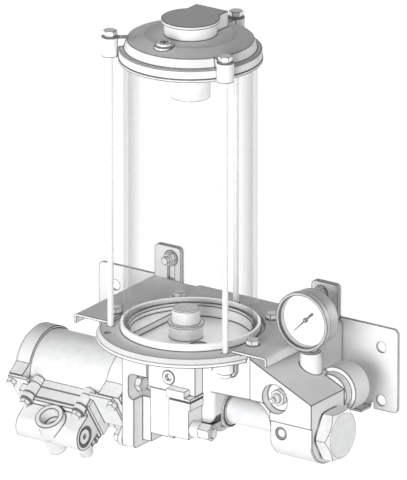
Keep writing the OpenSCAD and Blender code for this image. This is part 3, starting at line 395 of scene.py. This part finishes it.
def block(low, high, place=RING):
    """A box from its low corner to its high corner."""
    bpy.ops.mesh.primitive_cube_add(size=1.0)
    piece = bpy.context.object
    size = [b - a for a, b in zip(low, high)]
    middle = [(a + b) / 2 for a, b in zip(low, high)]
    piece.matrix_world = at(Matrix(), *middle) @ Matrix.Diagonal([s * MM for s in size] + [1.0])
    return settle(piece, place)


def turned(stations, place, sides=72):
    """A turned piece: a disc drawn out through stations of height and radius along the place's Z."""
    bpy.ops.mesh.primitive_circle_add(vertices=sides, radius=1.0, fill_type="NGON")
    piece = bpy.context.object
    height, radius = stations[0]
    size = Matrix.Diagonal((radius * MM, radius * MM, 1.0, 1.0))
    piece.matrix_world = at(Matrix(), 0, 0, height) @ size
    only(piece)
    bpy.ops.object.transform_apply(location=True, rotation=True, scale=True)
    bpy.ops.object.mode_set(mode="EDIT")
    bpy.ops.mesh.select_all(action="SELECT")
    for next_height, next_radius in stations[1:]:
        bpy.ops.mesh.extrude_region_move(
            TRANSFORM_OT_translate={"value": (0.0, 0.0, (next_height - height) * MM)}
        )
        share = next_radius / radius
        bpy.ops.transform.resize(value=(share, share, 1.0), center_override=(0.0, 0.0, 0.0))
        height, radius = next_height, next_radius
    bpy.ops.mesh.select_all(action="SELECT")
    bpy.ops.mesh.normals_make_consistent(inside=False)
    bpy.ops.object.mode_set(mode="OBJECT")
    return settle(piece, place)


def hexagon(across_flats, height, place):
    """A hexagonal head with the corners of its top turned off."""
    corner = across_flats / 2 / math.cos(math.pi / 6)
    head = turned([(0.0, corner), (height, corner)], Matrix(), sides=6)
    slope = [(-1.0, corner * 1.1), (height - 1.0, corner * 1.02), (height + 1.0, corner * 0.74)]
    cone = turned(slope, Matrix())
    return settle(keep_inside(head, cone), place)


def combine(piece, tool, operation):
    """Applies the tool to the piece as a boolean and throws the tool away."""
    only(piece)
    change = piece.modifiers.new("shape", "BOOLEAN")
    change.operation = operation
    change.solver = "MANIFOLD"
    change.object = tool
    bpy.ops.object.modifier_apply(modifier=change.name)
    bpy.data.objects.remove(tool)
    return piece


def fuse(piece, *tools):
    for tool in tools:
        combine(piece, tool, "UNION")
    return piece


def cut(piece, *tools):
    for tool in tools:
        combine(piece, tool, "DIFFERENCE")
    return piece


def keep_inside(piece, tool):
    return combine(piece, tool, "INTERSECT")


def merged_copy(node):
    """A copy of a CAD node as one closed mesh, to be worked on."""
    source = NODES[node]
    piece = bpy.data.objects.new(node + "_shape", source.data.copy())
    piece.matrix_world = source.matrix_world
    bpy.context.scene.collection.objects.link(piece)
    only(piece)
    bpy.ops.object.transform_apply(location=True, rotation=True, scale=True)
    bpy.ops.object.mode_set(mode="EDIT")
    bpy.ops.mesh.select_all(action="SELECT")
    bpy.ops.mesh.remove_doubles(threshold=0.001 * MM)
    bpy.ops.object.mode_set(mode="OBJECT")
    bpy.ops.mesh.customdata_custom_splitnormals_clear()
    return piece


def hand_over(piece, name, finish, stands_for, smooth=32.0):
    """Names the piece, paints it and lets it ride on the pump's body in place of a CAD node."""
    piece.name = name
    piece.data.materials.clear()
    piece.data.materials.append(finish)
    only(piece)
    bpy.ops.object.shade_smooth_by_angle(angle=math.radians(smooth))
    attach(piece, "pump")
    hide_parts(stands_for)
    return piece


def flange_corners(spots):
    """The bolt places given in Y and Z round the pump's line, on both sides."""
    return [(side * y, z) for side in (-1, 1) for y, z in spots]


# The casting, with the forms that the plain solid lacks

BODY_HALF = 33.0
FLANGE_X = 53.0
FLANGE_HALF = 49.0
BLOCK_X = (122.6, 174.6)
TIE_AT = (72.2, 41.7)
POCKET_SEAT = -45.0
POCKET_TOP = 45.0
POCKET_LOW = 72.5
UPPER_BOLT = (30.0, 17.6)
LOWER_BOLT = (40.0, -42.0)
ARM_FRONT = 33.0
NIPPLE_AT = (129.0, -41.7)
NIPPLE_RECESS = 9.0
NIPPLE_RECESS_R = 15.5
BAND_HALF = 32.2
BAND_TOP = -66.6
ARM_HALF = 33.7
ARM_STEP_X = 97.6
BLOCK_PLUG_X = 135.8
BLOCK_PLUG_D = 12.4
BORE_R = 15.0
BORE_X = (-47.0, 53.0)
TUBE_R = 14.4
CLEARANCE = 0.15
INLET_AT = (20.0, -14.0)
INLET_R = 9.0
BOWL_R = 64.0
BOWL_FLOOR = -10.0
SHELF_X = -46.0
UNDER_BOWL = -12.0
THREAD_R = 20.0
THREAD_X = 158.6


def body_round_tube():
    """The body under the bowl: flat sides, round lower corners and a round-edged mouth."""
    low, end, corner, mouth = -103.8, 51.8, 24.0, 5.0
    body = block((-29.0, -BODY_HALF, low), (end, BODY_HALF, UNDER_BOWL))
    local = RING.translation / MM
    bevel_edges(body, corner, 12, lambda m, d: abs(d.x) > 10 and m.z - local.z < low + 1)
    return bevel_edges(body, mouth, 5, lambda m, d: m.x > end - 0.5 and m.z - local.z < -11)


def arch_corner():
    """The casting's web in the corner between the arm and the block, hollowed by the arch."""
    radius, top = 24.0, -48.0
    start, low = BLOCK_X[0] - radius, top - radius - 1.0
    web = block((start, -BODY_HALF, low), (BLOCK_X[0] + 1.0, BODY_HALF, top))
    return cut(web, turned([(-40.0, radius), (40.0, radius)], at(RING, start, 0, low) @ TO_FRONT))


def outlet_block():
    """The block's lower half: a wide round, cut flat on both sides, with a step under the arm."""
    start, end = BLOCK_X
    stations = [(start, 34.0), (end - 1.4, 34.0), (end, 33.0)]
    drum = turned(stations, PUMP_LINE @ ALONG_X, sides=128)
    return keep_inside(drum, block((start - 5, -BAND_HALF, -120.0), (end + 5, BAND_HALF, BAND_TOP)))


def band_relief(side):
    """What is taken off the arm's foot, so that the block's band lies a little deeper."""
    low, high = sorted((side * BAND_HALF, side * (BODY_HALF + 3)))
    return block((BLOCK_X[0] - 0.01, low, -90.0), (BLOCK_X[1] + 1, high, BAND_TOP))


def proud_arm():
    """The arm's flanks, which stand a little proud of the body."""
    arm = merged_copy("pump_base")
    half = BODY_HALF + 1
    keep_inside(arm, block((ARM_STEP_X, -half, BAND_TOP), (BLOCK_X[1] + 1, half, 3.0)))
    bpy.ops.object.mode_set(mode="EDIT")
    bpy.ops.mesh.select_all(action="SELECT")
    bpy.ops.transform.resize(value=(1.0, ARM_HALF / BODY_HALF, 1.0), center_override=RING.translation)
    bpy.ops.object.mode_set(mode="OBJECT")
    return arm


def tie_pads():
    """The U-shaped pads under the ring, and the slim boss in front of each."""
    pads = []
    x, y = TIE_AT
    for side in (-1, 1):
        low, high = sorted((side * 31, side * 36))
        pads.append(block((x - 10, low, -19.0), (x + 10, high, -8.0)))
        pads.append(turned([(0.0, 10.0), (5.0, 10.0)], at(RING, x, high, -19.0) @ TO_FRONT))
        pads.append(turned([(-27.2, 5.4), (-26.4, 5.7), (-8.0, 5.7)], at(RING, x, side * y, 0)))
    return pads


def flange_pad():
    """The pad that joins the motor flange to the ring, down to the bolts' pockets."""
    return block((-FLANGE_X, -FLANGE_HALF, -POCKET_TOP), (-21.6, -10.0, -8.0))


def pocket(side):
    """A round-cornered pocket for an upper flange bolt."""
    low, high = sorted((side * 60.0, side * 17.0))
    hole = block((POCKET_SEAT, low, -POCKET_LOW), (-15.6, high, -POCKET_TOP))
    return bevel_edges(hole, 6.0, 5, lambda m, d: abs(d.y) > 10)


def flange_fillings():
    """Solid metal at the pockets' seats and at the inner ends of the studs' holes."""
    inner = -FLANGE_X + 15
    seats = [
        block((-FLANGE_X + 4, low, -POCKET_LOW - 1), (inner, high, -POCKET_TOP + 3))
        for low, high in ((-FLANGE_HALF, -17.0), (17.0, FLANGE_HALF))
    ]
    ends = [
        turned([(-FLANGE_X + 5, 5.0), (inner, 5.0)], at(PUMP_LINE, 0, y, z) @ ALONG_X, sides=48)
        for y, z in flange_corners([LOWER_BOLT])
    ]
    return seats + ends


def bores():
    """The inlet and the bowl, and the bores of the rod, the pump tube and the end plug's thread."""
    inlet = turned([(-PUMP_DROP, INLET_R), (-5.0, INLET_R)], at(RING, *INLET_AT, 0))
    shelf = block((-70.0, -70.0, -11.0), (SHELF_X, 70.0, 0.0))
    bowl = cut(turned([(BOWL_FLOOR, BOWL_R), (-4.0, BOWL_R)], RING), shelf)
    start, end = BLOCK_X
    lengths = [(*BORE_X, BORE_R), (start - 2, THREAD_X, TUBE_R), (THREAD_X, end + 2, THREAD_R)]
    holes = [[(low, r + CLEARANCE), (high, r + CLEARANCE)] for low, high, r in lengths]
    return [inlet, bowl] + [turned(hole, PUMP_LINE @ ALONG_X) for hole in holes]


def casting():
    """The whole cast body, worked up from the plain solid."""
    shape = merged_copy("pump_base")
    shoulder = block((-39.0, -BODY_HALF, -121.6), (-27.0, BODY_HALF, UNDER_BOWL))
    fuse(shape, shoulder, body_round_tube())
    fuse(shape, arch_corner(), proud_arm(), flange_pad(), *flange_fillings(), *tie_pads())
    cut(shape, band_relief(-1), band_relief(1))
    fuse(shape, outlet_block())
    plug_hole = turned([(30.0, BLOCK_PLUG_D / 2 + 0.3), (40.0, BLOCK_PLUG_D / 2 + 0.3)],
                       at(PUMP_LINE, BLOCK_PLUG_X, 0, 0) @ TO_FRONT)
    nipple_recess = turned([(ARM_FRONT - NIPPLE_RECESS, NIPPLE_RECESS_R), (40.0, NIPPLE_RECESS_R)],
                           at(RING, NIPPLE_AT[0], 0, NIPPLE_AT[1]) @ TO_FRONT)
    cut(shape, pocket(-1), pocket(1), plug_hole, nipple_recess, *bores())
    return hand_over(shape, "cast_body", BODY, "pump_base", smooth=19.0)


casting()


# The pump tube's ring, the plugs and the grease nipple

PLUG_FOOT = 176.1


def lock_ring():
    """The ring in the body's mouth that seals the pump tube, with a groove round its face."""
    edge = [(50.0, 19.6), (53.4, 19.6), (54.2, 18.8), (54.2, 18.0)]
    groove = [(52.6, 18.0), (52.6, 16.8), (54.4, 16.8), (54.4, 14.6)]
    line = PUMP_LINE @ ALONG_X
    ring = cut(turned(edge + groove, line), turned([(45.0, TUBE_R + 0.05), (60.0, TUBE_R + 0.05)], line))
    return hand_over(ring, "mouth_ring", ZINC, "tube_lock_ring")


def end_plug():
    """The large hexagonal plug, with the corners turned off at its foot and its face."""
    corner, height = 29.3, 15.8
    place = at(PUMP_LINE, PLUG_FOOT, 0, 0) @ ALONG_X
    plug = turned([(0.0, corner), (height, corner)], place, sides=6)
    keep_inside(plug, turned([(0.0, 27.6), (1.4, 29.4), (12.2, 29.4), (height, 24.0)], place, sides=96))
    thread = turned([(THREAD_X - PLUG_FOOT, THREAD_R), (1.0, THREAD_R)], place)
    fuse(plug, cut(thread, turned([(-20.0, 11.0), (-1.5, 11.0)], place)))
    return hand_over(plug, "large_hexagon_plug", ZINC, "end_plug")


def block_plug():
    """The screwed plug in the block's front, with a turned ring round its middle."""
    stations = [(30.2, 6.2), (31.8, 6.2), (32.2, 5.8), (32.2, 4.7), (31.4, 4.7), (31.4, 0.1)]
    plug = turned(stations, at(PUMP_LINE, BLOCK_PLUG_X, 0, 0) @ TO_FRONT, sides=48)
    return hand_over(plug, "ringed_plug", ZINC, "block_plug")


def grease_nipple():
    """The nipple in the arm's recess: a hexagon, a shoulder, a neck and a round head."""
    place = at(RING, NIPPLE_AT[0], NIPPLE_RECESS - ARM_FRONT, NIPPLE_AT[1]) @ TO_FRONT
    shoulder = [(-4.0, 5.0), (5.0, 5.2), (8.4, 5.2), (10.6, 3.2)]
    head = [(12.2, 2.7), (13.4, 3.6), (15.2, 3.6), (16.6, 2.3)]
    nipple = fuse(hexagon(16.0, 5.5, place), turned(shoulder + head, place, sides=48))
    return hand_over(nipple, "grease_nipple", ZINC, "grease_fitting")


def relief_valve():
    """The relief valve beside the lower block: a body, a stepped head and a tab under the manifold."""
    left, right, front, back = 11.4, 36.7, -57.0, -32.0
    head_right = right + 2.0
    valve = block((left, front, -99.3), (right, back, -67.0))
    head = block((left, front, -67.1), (head_right, back, -58.7))
    neck = block((left, front + 1.4, -59.0), (head_right - 1.4, back, -57.0))
    plate = block((left, front, -57.2), (head_right, back, -54.5))
    tab = block((8.0, front, -57.2), (31.0, -46.0, -47.7))
    fuse(valve, head, neck, plate, tab)
    return hand_over(valve, "relief_valve_body", MACHINED, "vent_valve")


lock_ring()
end_plug()
block_plug()
grease_nipple()
relief_valve()


# The air motor's adapter, its bolts and the air valve

MOTOR_X = (-190.0, -80.0)
MOTOR_R = 40.5
ADAPTER_R = 42.5
PAD_REACH = 42.0
PAD_HALF = 23.2
EAR_HALF = 35.0
LUG_T = 6.0
LUG_R = 9.0
VALVE_X = (-168.9, -90.5)
TOWER_X = (-98.4, -164.0)
TOWER_P = 23.0
TOWER_R = 6.8
PLATE_REACH = 54.4
HOUSING_HALF = 22.2
SPOOL_REACH = 75.3


def adapter():
    """The bell behind the flange: a round body, a pad for the air plate and a lug for each bolt."""
    bell = turned([(MOTOR_X[1], ADAPTER_R), (-FLANGE_X, ADAPTER_R)], VALVE @ ALONG_X, sides=96)
    fuse(bell, block((MOTOR_X[1], -PAD_REACH, -EAR_HALF), (-FLANGE_X - 0.5, 0.0, EAR_HALF), VALVE))
    cut(bell, block((MOTOR_X[1] - 5, -PAD_REACH - 20, -50.0), (-FLANGE_X + 5, -PAD_REACH, 50.0), VALVE))
    for y, z in flange_corners([UPPER_BOLT, LOWER_BOLT]):
        reach = math.hypot(y, z)
        along = PUMP_LINE @ Matrix.Rotation(math.atan2(z, y), 4, "X")
        arm = block((-FLANGE_X - LUG_T, 0.0, -LUG_R), (-FLANGE_X, reach, LUG_R), along)
        end = turned([(-FLANGE_X - LUG_T, LUG_R), (-FLANGE_X, LUG_R)], at(PUMP_LINE, 0, y, z) @ ALONG_X)
        fuse(bell, arm, end)
    return hand_over(bell, "adapter_bell", CASTING, "motor_adapter")


def flange_fasteners():
    """The bolts in the pockets and, under them, the studs that carry the adapter's nuts."""
    parts = []
    for y, z in flange_corners([UPPER_BOLT]):
        place = at(PUMP_LINE, POCKET_SEAT, y, z) @ ALONG_X
        parts.append(fuse(hexagon(14.0, 7.0, place), turned([(-14.0, 4.0), (1.0, 4.0)], place)))
    for y, z in flange_corners([LOWER_BOLT]):
        place = at(PUMP_LINE, 0, y, z) @ ALONG_X
        parts.append(turned([(-68.0, 3.4), (-67.2, 4.0), (-42.0, 4.0)], place, sides=32))
    first = parts[0]
    fuse(first, *parts[1:])
    return hand_over(first, "flange_fasteners", ZINC, "flange_bolts")


def columns(start, end):
    """The four round columns of the air valve's bolts, between two heights over the motor's line."""
    return [
        turned([(start, TOWER_R), (end, TOWER_R)], at(VALVE, x, 0, side * TOWER_P) @ TO_FRONT, sides=48)
        for x in TOWER_X for side in (-1, 1)
    ]


def cylinder_pad():
    """The motor's cylinder: a narrower pad, with the columns standing on its flanks."""
    shape = merged_copy("motor_cylinder")
    for side in (-1, 1):
        low, high = sorted((side * PAD_HALF, side * 30.0))
        flank = block((MOTOR_X[0] + 13.9, -PAD_REACH - 1, low), (MOTOR_X[1] + 1, -28.0, high), VALVE)
        cut(shape, cut(flank, turned([(-200.0, MOTOR_R), (-70.0, MOTOR_R)], VALVE @ ALONG_X, sides=96)))
    fuse(shape, *columns(33.6, PAD_REACH))
    return hand_over(shape, "cylinder_with_columns", MACHINED, "motor_cylinder")


def air_plate():
    """The air plate with its waist between the ears, and a column at each bolt."""
    shape = merged_copy("valve_plate")
    (left, right), under, over = VALVE_X, -56.0, -41.0
    front = block((left, under, HOUSING_HALF), (right, over, 40.0), VALVE)
    rear = block((left - 9, under, -40.0), (right + 4, over, -HOUSING_HALF), VALVE)
    cut(shape, front, rear)
    fuse(shape, *columns(PAD_REACH, PLATE_REACH))
    return hand_over(shape, "waisted_air_plate", MACHINED, "valve_plate")


def gasket():
    """The gasket under the housing, with a round ear at each bolt."""
    shape = merged_copy("valve_gasket")
    fuse(shape, *columns(PLATE_REACH, PLATE_REACH + 1.0))
    return hand_over(shape, "eared_gasket", RUBBER, "valve_gasket")


def housing():
    """The air valve's housing, with a second boss on its underside."""
    shape = merged_copy("valve_housing")
    boss = turned([(-28.5, 7.0), (-27.7, 7.5), (-10.0, 7.5)], at(VALVE, VALVE_X[1] - 8, -76.6, 0))
    fuse(shape, boss)
    return hand_over(shape, "air_valve_housing", CASTING, "valve_housing")


def end_plugs():
    """The screwed plugs of the spool's bore: a ring groove and a hexagonal socket in each."""
    half = (VALVE_X[1] - VALVE_X[0]) / 2
    face, groove = half - 0.6, half - 2.4
    stations = [(half - 6, 11.0), (face, 11.0), (face, 10.2), (groove, 10.2), (groove, 8.4), (face, 8.4)]
    middle = at(VALVE, (VALVE_X[0] + VALVE_X[1]) / 2, -SPOOL_REACH, 0)
    plugs = []
    for turn in (ALONG_X, TO_LEFT):
        plug = turned(stations, middle @ turn)
        cut(plug, turned([(half - 3.5, 2.9), (half + 1, 2.9)], middle @ turn, sides=6))
        plugs.append(plug)
    fuse(plugs[0], plugs[1])
    return hand_over(plugs[0], "socket_end_plugs", ZINC, "spool_plugs")


adapter()
flange_fasteners()
cylinder_pad()
air_plate()
gasket()
housing()
end_plugs()


# Studio: floor, lights, background and camera

FLOOR_DROP = 120 * MM
FLOOR_SIZE = 12.0
LENS_MM = 1200.0
SENSOR_MM = 36.0


def away(azimuth, elevation):
    """Unit vector from the pump towards a place at that azimuth, right of the front, and elevation."""
    a, e = math.radians(azimuth), math.radians(elevation)
    return Vector((math.sin(a) * math.cos(e), -math.cos(a) * math.cos(e), math.sin(e)))


def seen_directly(paint):
    """1 for what the camera sees, directly, in a reflection or through something clear."""
    path = paint.node("ShaderNodeLightPath")
    camera_ray, glossy_ray, transmission_ray = path[0], path[3], path[6]
    return (camera_ray + glossy_ray + transmission_ray).clamp()


def make_floor():
    low = cad_box[0]
    bpy.ops.mesh.primitive_plane_add(size=FLOOR_SIZE, location=(0.0, 0.0, low[2] - FLOOR_DROP))
    floor = bpy.context.object
    floor.name = "floor"
    paint = Paint("pale_floor")
    paint.set(Base_Color=grey(0.8), Roughness=0.9)
    plain = Value(paint, paint.shader.outputs[0])
    glow = paint.node("ShaderNodeEmission", {}, {"Color": grey(1.0), "Strength": 0.8})[0]
    lit = paint.node("ShaderNodeAddShader", {}, {0: plain, 1: glow})[0]
    mixed = paint.node("ShaderNodeMixShader", {}, {0: seen_directly(paint), 1: plain, 2: lit})[0]
    paint.feed(paint.output.inputs["Surface"], mixed)
    floor.data.materials.append(paint.material)
    return floor


def softbox(name, azimuth, elevation, distance, size, level):
    """A square softbox that lights a facing white surface to that level."""
    aim = Vector((0.0, -0.1, 0.13))
    direction = away(azimuth, elevation)
    data = bpy.data.lights.new(name, "AREA")
    data.shape = "SQUARE"
    data.size = size
    data.energy = level * math.pi * math.pi * distance * distance
    lamp = bpy.data.objects.new(name, data)
    lamp.location = aim + direction * distance
    lamp.rotation_euler = direction.to_track_quat("Z", "Y").to_euler()
    bpy.context.scene.collection.objects.link(lamp)


def make_world(level):
    world = bpy.data.worlds.new("white_room")
    world.use_nodes = True
    bpy.context.scene.world = world
    tree = world.node_tree
    tree.nodes.clear()
    path = tree.nodes.new("ShaderNodeLightPath")
    first = tree.nodes.new("ShaderNodeMath")
    first.operation = "MAXIMUM"
    tree.links.new(path.outputs["Is Camera Ray"], first.inputs[0])
    tree.links.new(path.outputs["Is Glossy Ray"], first.inputs[1])
    second = tree.nodes.new("ShaderNodeMath")
    second.operation = "MAXIMUM"
    tree.links.new(first.outputs[0], second.inputs[0])
    tree.links.new(path.outputs["Is Transmission Ray"], second.inputs[1])
    room = tree.nodes.new("ShaderNodeBackground")
    room.inputs["Color"].default_value = grey(1.0)
    room.inputs["Strength"].default_value = level
    seen = tree.nodes.new("ShaderNodeBackground")
    seen.inputs["Color"].default_value = grey(1.0)
    seen.inputs["Strength"].default_value = 1.0
    mix = tree.nodes.new("ShaderNodeMixShader")
    tree.links.new(second.outputs[0], mix.inputs[0])
    tree.links.new(room.outputs[0], mix.inputs[1])
    tree.links.new(seen.outputs[0], mix.inputs[2])
    out = tree.nodes.new("ShaderNodeOutputWorld")
    tree.links.new(mix.outputs[0], out.inputs["Surface"])


def make_camera():
    """A long lens, so that the view is almost parallel as in the drawing."""
    right = Vector((math.cos(AZIMUTH), math.sin(AZIMUTH), 0.0))
    toward = away(math.degrees(AZIMUTH), math.degrees(ELEVATION))
    up = toward.cross(right)
    across = FRAME_PX[0] / 2 - RING_CENTRE_PX[0]
    down = FRAME_PX[1] / 2 - RING_CENTRE_PX[1]
    middle = RING_CENTRE + right * across * PIXEL - up * down * PIXEL
    data = bpy.data.cameras.new("camera")
    data.lens = LENS_MM
    data.sensor_width = SENSOR_MM
    distance = FRAME_PX[1] * PIXEL * LENS_MM / SENSOR_MM
    data.clip_start = 0.1
    data.clip_end = distance * 2
    camera = bpy.data.objects.new("camera", data)
    camera.location = middle + toward * distance
    camera.rotation_euler = Matrix((right, up, toward)).transposed().to_euler()
    bpy.context.scene.collection.objects.link(camera)
    bpy.context.scene.camera = camera


make_floor()
make_world(0.11)
softbox("key_softbox", 16.0, 7.0, 2.4, 1.3, 0.98)
softbox("left_softbox", -75.0, 5.0, 2.6, 1.2, 0.4)
softbox("right_softbox", 100.0, 8.0, 2.6, 1.4, 0.16)
softbox("back_softbox", 150.0, 5.0, 2.6, 1.4, 0.3)
make_camera()
bpy.context.scene.view_settings.view_transform = "Standard"
